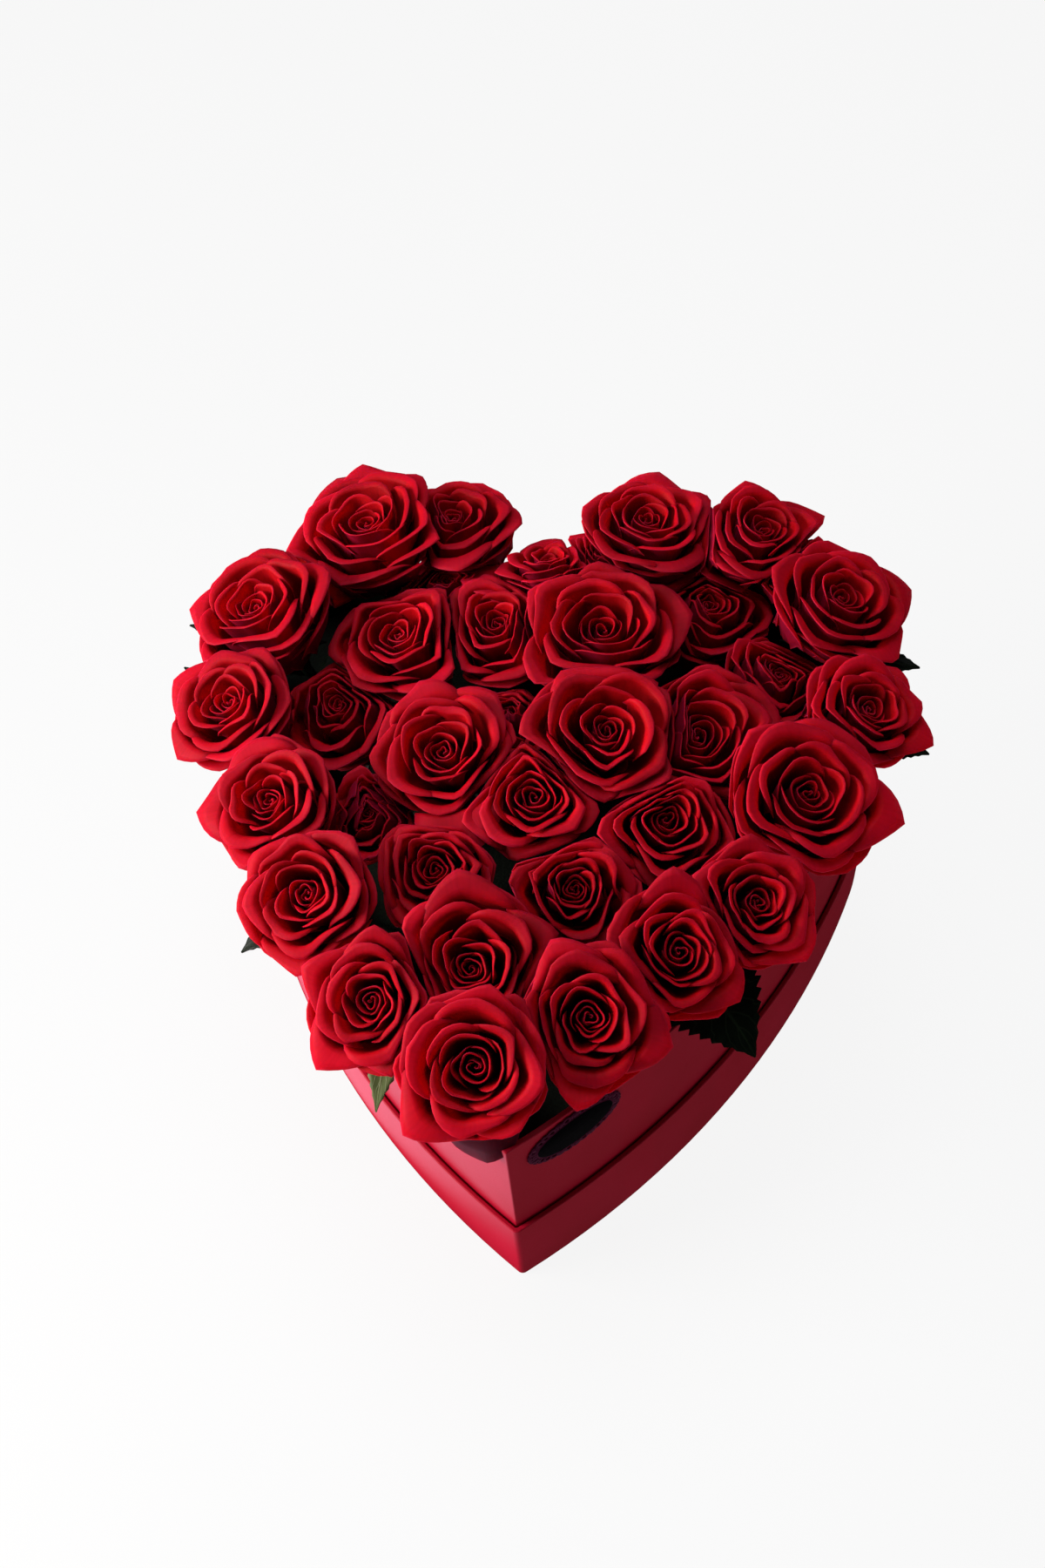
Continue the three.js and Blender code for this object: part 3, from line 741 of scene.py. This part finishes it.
def makeLeafMaterial(name, dark, light, vein):
    # Rose leaf: waxy, and paler along its rib and side veins, which run out to the teeth
    material = newMaterial(name)
    uv = addNode(material, "ShaderNodeUVMap", {"uv_map": "blade"})
    split = addNode(material, "ShaderNodeSeparateXYZ", {}, {"Vector": uv.outputs["UV"]})
    centred = addNode(
        material, "ShaderNodeMath", {"operation": "SUBTRACT", 1: 0.5}, {0: split.outputs["X"]}
    )
    side = addNode(material, "ShaderNodeMath", {"operation": "ABSOLUTE"}, {0: centred.outputs["Value"]})
    slant = addNode(
        material,
        "ShaderNodeMath",
        {"operation": "MULTIPLY_ADD", 1: -0.45},
        {0: side.outputs["Value"], 2: split.outputs["Y"]},
    )
    beat = addNode(
        material,
        "ShaderNodeMath",
        {"operation": "MULTIPLY", 1: 2 * math.pi * 9},
        {0: slant.outputs["Value"]},
    )  # nine pairs of side veins, about 5 mm apart
    wave = addNode(material, "ShaderNodeMath", {"operation": "SINE"}, {0: beat.outputs["Value"]})
    veins = addNode(
        material,
        "ShaderNodeMapRange",
        {"From Min": 0.86, "From Max": 1.0, "To Max": 0.7},
        {"Value": wave.outputs["Value"]},
    )
    rib = addNode(
        material,
        "ShaderNodeMapRange",
        {"From Min": 0.035, "From Max": 0.012},
        {"Value": side.outputs["Value"]},
    )
    lines = addNode(
        material,
        "ShaderNodeMath",
        {"operation": "MAXIMUM"},
        {0: veins.outputs["Result"], 1: rib.outputs["Result"]},
    )
    place = addNode(material, "ShaderNodeTexCoord", {})
    mottle = addNode(
        material,
        "ShaderNodeTexNoise",
        {"Scale": 1 / (6 * mm), "Detail": 4.0},
        {"Vector": place.outputs["Object"]},
    )  # mottling about 6 mm across
    face = addRamp(material, mottle.outputs["Fac"], [(0.3, dark), (0.7, light)])
    colour = addNode(
        material,
        "ShaderNodeMix",
        {"data_type": "RGBA", 7: linearColour(vein)},
        {0: lines.outputs["Value"], 6: face},
    )
    bump = addNode(
        material,
        "ShaderNodeBump",
        {"Strength": 0.5, "Distance": 0.3 * mm},
        {"Height": lines.outputs["Value"]},
    )
    return finishMaterial(
        material,
        {"Roughness": 0.45, "IOR": 1.45, "Specular IOR Level": 0.12},
        {"Base Color": colour.outputs[2], "Normal": bump.outputs["Normal"]},
    )


def makeSpray(number, members, materials):
    # The blades are made first, because only they are given their thickness
    bm = bmesh.new()
    bm.loops.layers.uv.new("blade")
    team = [roses[member - 1] for member in members]
    for rose in team:
        addSepals(bm, rose)
    for one, other in zip(team, team[1:]):
        root, tip = stemPoint(one, foliage["tieHeight"]), stemPoint(other, foliage["tieHeight"])
        side = (tip - root).cross(up).normalized()
        addBlade(bm, root, tip, foliage["tieWidth"], foliage["tieArch"], side)
    for leaf in showingLeaves:
        if leaf["rose"] in members:
            root = stemPoint(roses[leaf["rose"] - 1], foliage["leafRoot"])
            tip = Vector(leaf["tip"])
            before = set(bm.faces)
            addBlade(bm, root, tip, leaf["width"], leaf["arch"], (tip - root).cross(up).normalized())
            for face in set(bm.faces) - before:
                face.material_index = 1 if leaf.get("highlighted") else 0
    bmesh.ops.solidify(bm, geom=bm.faces[:], thickness=foliage["leafThickness"])
    for rose in team:
        addStem(bm, rose)
    bmesh.ops.recalc_face_normals(bm, faces=bm.faces)
    node = f"stems_{number:02d}"
    finishPiece(node + "_spray", bm, materials, node)


leafMaterials = [
    # painted shade: the dark green is made near black, for leaves, sepals and stems in the shade among
    # the heads
    makeLeafMaterial("rose leaf, waxy dark green painted near black as shade", "#070d07", "#0e170c", "#1a2616"),
    # pale green, partly the leaf's own colour and partly a painted highlight
    makeLeafMaterial("young rose leaf, pale green", "#465230", "#5c663e", "#767c54"),
]
for number, members in enumerate(sprays, start=1):
    makeSpray(number, members, leafMaterials)
print("stems and leaves made")


# The heart's edge, by spinning a point round the centre of each of its arcs

heart = {
    "lobeX": 70,
    "lobeY": 70,
    "lobeR": 80,
    "sideR": 400,
    "tipY": -154.5,
    "tipRound": 3,
    "notchRound": 2,
    "leastRound": 1,
    "snap": 0.01,  # what is this near to the middle line is put on it
    "steps": {"tip": 6, "side": 24, "lobe": 48, "notch": 5},
}


def findSideCentre():
    # The centre of the right side's arc, which touches the right lobe and passes through the tip
    lobe = Vector((heart["lobeX"], heart["lobeY"]))
    line = Vector((0, heart["tipY"])) - lobe
    inner = heart["sideR"] - heart["lobeR"]
    along = (inner**2 - heart["sideR"] ** 2 + line.length**2) / (2 * line.length)
    across = math.sqrt(inner**2 - along**2)
    line.normalize()
    return lobe + line * along + Vector((line.y, -line.x)) * across


sideCentre = findSideCentre()


def heartLoop(bm, offset, height):
    # A closed loop of edges, moved outwards by offset. Returns the loop's edges.
    lobe = Vector((heart["lobeX"], heart["lobeY"], height))
    side = Vector((*sideCentre, height))
    sideR = heart["sideR"] + offset
    lobeR = heart["lobeR"] + offset
    tipR = max(heart["tipRound"] + offset, heart["leastRound"])
    notchR = max(heart["notchRound"] - offset, heart["leastRound"])
    tip = Vector((0, side.y - math.sqrt((sideR - tipR) ** 2 - side.x**2), height))
    notch = Vector((0, lobe.y + math.sqrt((lobeR + notchR) ** 2 - lobe.x**2), height))
    sideFrom = math.atan2(tip.y - side.y, tip.x - side.x)
    sideTo = math.atan2(lobe.y - side.y, lobe.x - side.x)
    lobeTo = math.atan2(notch.y - lobe.y, notch.x - lobe.x)
    steps = heart["steps"]
    arcs = [
        (tip, sideFrom + math.pi / 2, steps["tip"]),
        (side, sideTo - sideFrom, steps["side"]),
        (lobe, lobeTo - sideTo, steps["lobe"]),
        (notch, math.pi / 2 - lobeTo, steps["notch"]),
    ]
    before = set(bm.edges)
    last = bm.verts.new((0, tip.y - tipR, height))
    for centre, angle, count in arcs:
        turned = bmesh.ops.spin(bm, geom=[last], cent=centre, axis=up, angle=angle, steps=count)
        last = turned["geom_last"][0]
    half = [edge for edge in bm.edges if edge not in before]
    ends = [vert for edge in half for vert in edge.verts]
    for vert in ends:
        if abs(vert.co.x) < heart["snap"]:
            vert.co.x = 0
    bmesh.ops.mirror(bm, geom=list(set(ends)) + half, axis="X", merge_dist=heart["snap"] / 2)
    return [edge for edge in bm.edges if edge not in before]


def heartTray(bm, offset, bottom, top, wall, floor):
    # A heart-shaped tray: its outside, its rim and its inside as walls between four loops
    loops = [
        heartLoop(bm, offset, bottom),
        heartLoop(bm, offset, top),
        heartLoop(bm, offset - wall, top),
        heartLoop(bm, offset - wall, bottom + floor),
    ]
    for low, high in zip(loops, loops[1:]):
        bmesh.ops.bridge_loops(bm, edges=low + high)
    for loop in (loops[0], loops[-1]):
        bmesh.ops.contextual_create(bm, geom=loop)
    bmesh.ops.recalc_face_normals(bm, faces=bm.faces)


# The box and the lid that it stands in: paper wrapped round board

carton = {
    "lidHeight": 48,
    "lidWall": 2.2,
    "lidFloor": 2,
    "boxRim": 120,
    "boxWall": 2.4,
    "boxFloor": 2.4,
    "slack": 0.6,  # between the box and the lid's wall
    "edge": 0.7,  # how far the wrapped paper rounds the board's edges, and in how many steps
    "edgeSteps": 3,
    "edgeAngle": 50,  # sharper edges than this are rounded
}


def makePaperMaterial():
    # Dyed paper with a satin finish over board: nearly smooth, with a faint tooth and soft clouding
    material = newMaterial("satin wrapping paper, red")
    place = addNode(material, "ShaderNodeTexCoord", {})
    clouds = addNode(
        material,
        "ShaderNodeTexNoise",
        {"Scale": 1 / (45 * mm), "Detail": 3.0},
        {"Vector": place.outputs["Object"]},
    )  # clouding about 45 mm across
    fibres = addNode(
        material,
        "ShaderNodeTexNoise",
        {"Scale": 1 / (0.9 * mm), "Detail": 4.0, "Roughness": 0.6},
        {"Vector": place.outputs["Object"]},
    )  # fibres are finer than this, but would not show
    colour = addRamp(material, clouds.outputs["Fac"], [(0.3, "#92061e"), (0.7, "#9c0a26")])
    rough = addNode(
        material,
        "ShaderNodeMapRange",
        {"To Min": 0.36, "To Max": 0.48},
        {"Value": fibres.outputs["Fac"]},
    )
    bump = addNode(
        material,
        "ShaderNodeBump",
        {"Strength": 0.2, "Distance": 0.05 * mm},
        {"Height": fibres.outputs["Fac"]},
    )
    return finishMaterial(
        material,
        {"IOR": 1.48, "Specular IOR Level": 0.11},
        {"Base Color": colour, "Roughness": rough.outputs["Result"], "Normal": bump.outputs["Normal"]},
    )


def makeTray(name, offset, bottom, top, wall, floor, material):
    bm = bmesh.new()
    heartTray(bm, offset, bottom, top, wall, floor)
    piece = finishPiece(name + "_wrapped", bm, [material], name)
    rounding = piece.modifiers.new("wrapped edges", "BEVEL")
    rounding.width = carton["edge"] * mm
    rounding.segments = carton["edgeSteps"]
    rounding.limit_method = "ANGLE"
    rounding.angle_limit = math.radians(carton["edgeAngle"])
    rounding.harden_normals = True


paperMaterial = makePaperMaterial()
seat = bouquet["seat"]
boxOffset = -carton["lidWall"] - carton["slack"]
boxBottom = carton["lidFloor"] + seat
makeTray("lid", 0, 0, carton["lidHeight"], carton["lidWall"], carton["lidFloor"], paperMaterial)
makeTray(
    "box", boxOffset, boxBottom, carton["boxRim"], carton["boxWall"], carton["boxFloor"], paperMaterial
)
print("box and lid made")


# The label on the right front wall: a blank oval card with a lace edge

label = {
    "x": 24.5,
    "z": 104,
    "width": 44,
    "height": 28,
    "thickness": 0.8,
    "laceWidth": 4.2,
    "laceThickness": 0.5,
    "bandOut": 0.9,  # how far the lace's band reaches out from the card's edge, and in over it
    "bandIn": 0.8,
    "loops": 34,
    "loopRadius": 2.3,
    "loopHole": 0.45,  # for its radius
    "loopGap": 0.1,  # from the card's edge
    "loopThin": 0.8,  # how thick a loop is, for the band
    "ovalSides": 72,
    "loopSides": 12,
}


def bendOntoWall(bm, verts):
    # From a flat layout, X across and Z up with Y out of the wall, to the curved right front wall
    radius = heart["sideR"] + boxOffset + seat
    middle = -math.acos((label["x"] - sideCentre.x) / (radius + label["thickness"] / 2))
    for vert in verts:
        angle = middle + vert.co.x / radius
        reach = radius + vert.co.y
        vert.co = Vector(
            (
                sideCentre.x + reach * math.cos(angle),
                sideCentre.y + reach * math.sin(angle),
                label["z"] + vert.co.z,
            )
        )


def makeCardMaterial():
    # Matt black card, with a fine tooth, drawn here at 0.6 mm
    material = newMaterial("uncoated card, black")
    place = addNode(material, "ShaderNodeTexCoord", {})
    fibres = addNode(
        material,
        "ShaderNodeTexNoise",
        {"Scale": 1 / (0.6 * mm), "Detail": 4.0},
        {"Vector": place.outputs["Object"]},
    )
    colour = addRamp(material, fibres.outputs["Fac"], [(0.3, "#080708"), (0.7, "#0f0d10")])
    bump = addNode(
        material,
        "ShaderNodeBump",
        {"Strength": 0.3, "Distance": 0.05 * mm},
        {"Height": fibres.outputs["Fac"]},
    )
    return finishMaterial(
        material,
        {"Roughness": 0.8, "IOR": 1.47, "Specular IOR Level": 0.02},
        {"Base Color": colour, "Normal": bump.outputs["Normal"]},
    )


def makeLaceMaterial():
    # Cotton lace dyed plum: matt thread, its twist too fine to show but as a grain of 0.5 mm
    material = newMaterial("cotton lace, plum")
    place = addNode(material, "ShaderNodeTexCoord", {})
    thread = addNode(
        material,
        "ShaderNodeTexNoise",
        {"Scale": 1 / (0.5 * mm), "Detail": 3.0},
        {"Vector": place.outputs["Object"]},
    )
    colour = addRamp(material, thread.outputs["Fac"], [(0.3, "#340a1e"), (0.7, "#521030")])
    bump = addNode(
        material,
        "ShaderNodeBump",
        {"Strength": 0.6, "Distance": 0.1 * mm},
        {"Height": thread.outputs["Fac"]},
    )
    return finishMaterial(
        material,
        {"Roughness": 0.85, "Specular IOR Level": 0.05},
        {"Base Color": colour, "Normal": bump.outputs["Normal"]},
    )


def addWasher(bm, outer, inner, place, thick, segments, squash):
    # A flat ring, lying against the wall: squash gives it an oval's height for its width
    flat = Matrix.Translation(place) @ Matrix.Rotation(math.pi / 2, 4, "X")
    flat = flat @ Matrix.Diagonal((1, squash, 1, 1))
    loops = []
    for radius, lift in ((outer, 0), (outer, thick), (inner, thick), (inner, 0)):
        stand = Matrix.Translation((0, lift, 0)) @ flat
        made = bmesh.ops.create_circle(bm, segments=segments, radius=radius, matrix=stand)
        loops.append(list({edge for vert in made["verts"] for edge in vert.link_edges}))
    for low, high in zip(loops, loops[1:] + loops[:1]):
        bmesh.ops.bridge_loops(bm, edges=low + high)


def makeLabel():
    # The card's oval edge is this far out to the sides, and squashed upwards
    inner = label["width"] / 2 - label["laceWidth"]
    squash = (label["height"] / 2 - label["laceWidth"]) / inner

    card = bmesh.new()
    oval = Matrix.Rotation(math.pi / 2, 4, "X") @ Matrix.Diagonal((1, squash, 1, 1))
    bmesh.ops.create_circle(card, cap_ends=True, segments=label["ovalSides"], radius=inner, matrix=oval)
    lifted = bmesh.ops.extrude_face_region(card, geom=card.faces[:])
    raised = [part for part in lifted["geom"] if isinstance(part, bmesh.types.BMVert)]
    bmesh.ops.translate(card, vec=(0, label["thickness"], 0), verts=raised)
    bendOntoWall(card, card.verts)
    bmesh.ops.recalc_face_normals(card, faces=card.faces)
    finishPiece("label_card", card, [makeCardMaterial()], "label")

    lace = bmesh.new()
    thick = label["laceThickness"]
    bandOuter, bandInner = inner + label["bandOut"], inner - label["bandIn"]
    addWasher(lace, bandOuter, bandInner, Vector((0, 0, 0)), thick, label["ovalSides"], squash)
    loopOuter, loopInner = label["loopRadius"], label["loopHole"] * label["loopRadius"]
    beyond = loopOuter + label["loopGap"]
    for i in range(label["loops"]):
        angle = 2 * math.pi * (i + 0.5) / label["loops"]
        across = (inner + beyond) * math.cos(angle)
        rise = (inner * squash + beyond) * math.sin(angle)
        place = Vector((across, 0, rise))
        addWasher(lace, loopOuter, loopInner, place, label["loopThin"] * thick, label["loopSides"], 1)
    bendOntoWall(lace, lace.verts)
    bmesh.ops.recalc_face_normals(lace, faces=lace.faces)
    finishPiece("label_lace", lace, [makeLaceMaterial()], "label")


makeLabel()
print("label made")


# The lining and the foam stay as the model has them, with their own finishes, the foam's darkened by
# painted shade

def makeFilmMaterial():
    # Polythene film, dark green: glossy, with slack creases about 12 mm apart
    material = newMaterial("polythene film, dark green")
    place = addNode(material, "ShaderNodeTexCoord", {})
    creases = addNode(
        material,
        "ShaderNodeTexNoise",
        {"Scale": 1 / (12 * mm), "Detail": 3.0},
        {"Vector": place.outputs["Object"]},
    )
    colour = addRamp(material, creases.outputs["Fac"], [(0.3, "#10190f"), (0.7, "#182416")])
    bump = addNode(
        material,
        "ShaderNodeBump",
        {"Strength": 0.4, "Distance": 1 * mm},
        {"Height": creases.outputs["Fac"]},
    )
    return finishMaterial(
        material,
        {"Roughness": 0.35, "IOR": 1.5},
        {"Base Color": colour, "Normal": bump.outputs["Normal"]},
    )


def makeFoamMaterial():
    # Floral foam: matt green, of open cells about 0.5 mm wide, drawn here at 1 mm, its green darkened
    # near black as painted shade for the gaps between the heads
    material = newMaterial("floral foam, green darkened as painted shade")
    place = addNode(material, "ShaderNodeTexCoord", {})
    cells = addNode(
        material, "ShaderNodeTexVoronoi", {"Scale": 1 / (1 * mm)}, {"Vector": place.outputs["Object"]}
    )
    # painted shade: near-black greens, so the gaps between the heads read as shade
    colour = addRamp(material, cells.outputs["Distance"], [(0.1, "#060d06"), (0.8, "#0f1a0e")])
    bump = addNode(
        material,
        "ShaderNodeBump",
        {"Strength": 0.6, "Distance": 0.3 * mm},
        {"Height": cells.outputs["Distance"]},
    )
    return finishMaterial(
        material,
        {"Roughness": 0.9, "IOR": 1.35},
        {"Base Color": colour, "Normal": bump.outputs["Normal"]},
    )


for node, material in (("liner", makeFilmMaterial()), ("foam", makeFoamMaterial())):
    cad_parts[node].data.materials.clear()
    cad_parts[node].data.materials.append(material)
print("lining and foam finished")


# Floor, lights and camera

studio = {
    "floorSize": 8000,
    "glow": 0.9,  # how brightly the table shines, where 1 is white in the picture
    "sky": "#f4f6fa",
    "skyStrength": 0.15,
    "lookAt": (-11.52, 47.01, 80),  # the camera's place goes by its bearing and distance from here
    "azimuth": 8.69,
    "elevation": 53.88,
    "roll": -5.17,
    "distance": 756.93,
    "lens": 37.685,
    "sensor": 36,
    "nearest": 50,  # what is nearer to the camera isn't seen
}

# Soft lights: a window high on the left, the sky over the back, and a card that lies low along the
# left walls and gives them their pink shine
lights = [
    {
        "name": "window",
        "at": (-1700, -350, 800),
        "aim": (0, 0, 100),
        "size": (1100, 800),
        "power": 73,
        "colour": "#fffaf4",
    },
    {
        "name": "sky panel",
        "at": (-300, 500, 1900),
        "aim": (0, 0, 100),
        "size": (1600, 1200),
        "power": 22,
        "colour": "#f6f9ff",
    },
    {
        "name": "bounce card",
        "at": (-125, -112, 1),
        "aim": (-125, -112, 100),
        "size": (260, 110),
        "turn": 126,  # so that its long side runs along the walls
        "power": 0.16,
        "colour": "#ffd9f4",
    },
]


def makeFloor():
    # A white acrylic table, lit from within, so that shadows on it are light
    material = newMaterial("white acrylic, lit from within")
    place = addNode(material, "ShaderNodeTexCoord", {})
    clouds = addNode(
        material,
        "ShaderNodeTexNoise",
        {"Scale": 1 / (600 * mm), "Detail": 2.0},
        {"Vector": place.outputs["Object"]},
    )  # very faint clouding about 600 mm across
    colour = addRamp(material, clouds.outputs["Fac"], [(0.3, "#1f1f1f"), (0.7, "#232323")])
    finishMaterial(
        material,
        {
            "Roughness": 0.6,
            "Emission Color": linearColour("#ffffff"),
            "Emission Strength": studio["glow"],
        },
        {"Base Color": colour},
    )
    bm = bmesh.new()
    bmesh.ops.create_grid(bm, x_segments=1, y_segments=1, size=studio["floorSize"] / 2 * mm)
    mesh = bpy.data.meshes.new("table top")
    bm.to_mesh(mesh)
    bm.free()
    mesh.materials.append(material)
    floor = bpy.data.objects.new("table top", mesh)
    bpy.context.scene.collection.objects.link(floor)
    floor.visible_glossy = False  # a lit table would lie as a veil on the paper's shaded side


def makeCamera():
    azimuth, elevation, roll = (math.radians(studio[key]) for key in ("azimuth", "elevation", "roll"))
    back = Vector(
        (
            math.sin(azimuth) * math.cos(elevation),
            -math.cos(azimuth) * math.cos(elevation),
            math.sin(elevation),
        )
    )
    level = up.cross(back).normalized()
    head = back.cross(level)
    right = level * math.cos(roll) + head * math.sin(roll)
    top = head * math.cos(roll) - level * math.sin(roll)
    data = bpy.data.cameras.new("camera")
    data.lens = studio["lens"]
    data.sensor_width = studio["sensor"]
    data.clip_start = studio["nearest"] * mm
    camera = bpy.data.objects.new("camera", data)
    turned = Matrix((right, top, back)).transposed().to_4x4()
    place = (Vector(studio["lookAt"]) + back * studio["distance"]) * mm
    camera.matrix_world = Matrix.Translation(place) @ turned
    bpy.context.scene.collection.objects.link(camera)
    bpy.context.scene.camera = camera


def addLight(light):
    data = bpy.data.lights.new(light["name"], "AREA")
    data.shape = "RECTANGLE"
    data.size, data.size_y = (length * mm for length in light["size"])
    data.energy = light["power"]
    data.color = linearColour(light["colour"])[:3]
    lamp = bpy.data.objects.new(light["name"], data)
    lamp.location = Vector(light["at"]) * mm
    aimed = (Vector(light["at"]) - Vector(light["aim"])).to_track_quat("Z", "Y").to_matrix()
    turned = Matrix.Rotation(math.radians(light.get("turn", 0)), 3, "Z") @ aimed
    lamp.rotation_euler = turned.to_euler()
    lamp.visible_camera = False
    bpy.context.scene.collection.objects.link(lamp)


def makeSky():
    # Dim and even, and unseen in the paper's shine, as the table is
    sky = bpy.data.worlds.new("studio")
    sky.use_nodes = True
    background = sky.node_tree.nodes["Background"]
    background.inputs["Color"].default_value = linearColour(studio["sky"])
    background.inputs["Strength"].default_value = studio["skyStrength"]
    sky.cycles_visibility.glossy = False
    bpy.context.scene.world = sky


makeFloor()
makeCamera()
for light in lights:
    addLight(light)
makeSky()
bpy.context.scene.view_settings.view_transform = "Standard"
print("studio made")
